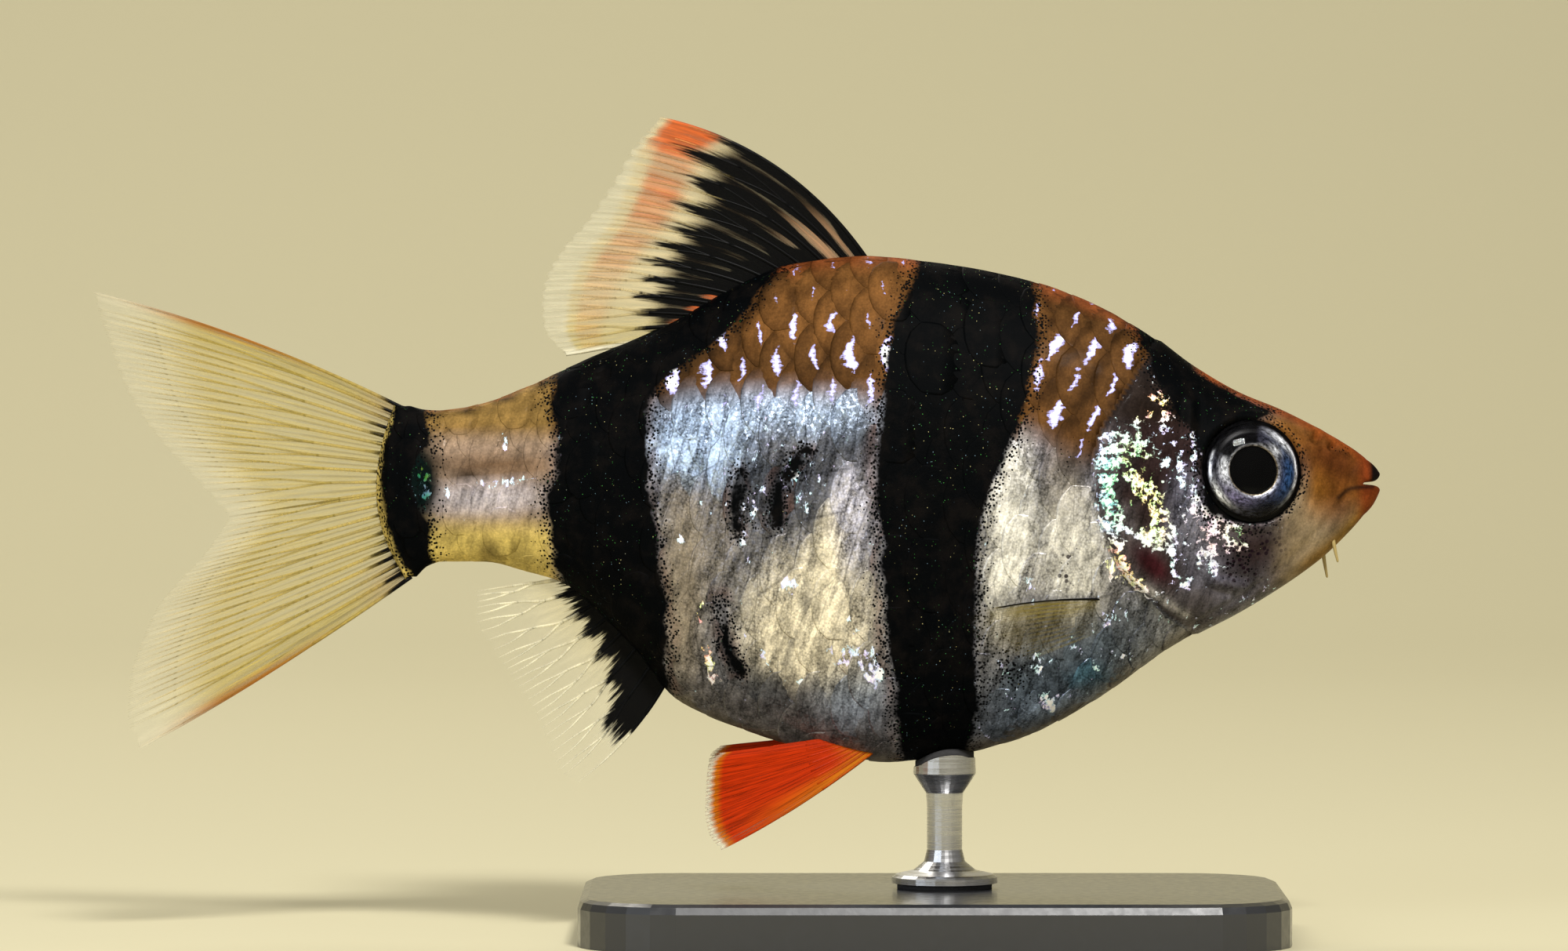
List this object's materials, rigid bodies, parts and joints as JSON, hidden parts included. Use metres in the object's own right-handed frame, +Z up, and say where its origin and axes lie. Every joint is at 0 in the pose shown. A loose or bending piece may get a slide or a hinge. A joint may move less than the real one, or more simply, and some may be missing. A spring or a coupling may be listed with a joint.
{
  "type": "tiger barb",
  "caption": "Still model of a small deep-bodied striped aquarium fish with spread fins, held level on a thin rod over a flat rounded base.",
  "frame": {"origin": "on the floor under the middle of the whole model's box", "axes": "+X toward the snout, +Y toward the fish's left side, +Z up"},
  "size_m": [0.0656, 0.024, 0.0418],
  "materials": {
    "head_skin": "wet satin skin, orange brown with silver cheeks",
    "gill_cover": "glossy skin over thin bone, silver with gold and green glints",
    "eye": "clear glossy, silver iris and black pupil",
    "body_skin": "glossy scaled skin, silver with black bands and orange back",
    "dorsal_fin": "thin translucent membrane, black base, orange red edge",
    "anal_fin": "thin translucent membrane, clear with a black root",
    "caudal_fin": "thin translucent membrane, yellow with orange edges",
    "pectoral_fin": "thin clear membrane, faintly yellow",
    "pelvic_fin": "thin translucent membrane, red with a yellow front ray",
    "stand_base": "satin dark enamel",
    "stand_rod": "satin"
  },
  "bodies": {
    "root": {"head": "head_skin", "gill_cover_left": "gill_cover", "gill_cover_right": "gill_cover", "eye_left": "eye", "eye_right": "eye", "torso": "body_skin", "tail_peduncle": "body_skin", "dorsal_fin": "dorsal_fin", "anal_fin": "anal_fin", "caudal_fin_upper": "caudal_fin", "caudal_fin_lower": "caudal_fin", "pectoral_fin_left": "pectoral_fin", "pectoral_fin_right": "pectoral_fin", "pelvic_fin_left": "pelvic_fin", "pelvic_fin_right": "pelvic_fin", "stand_base": "stand_base", "stand_rod": "stand_rod"}
  },
  "joints": []
}
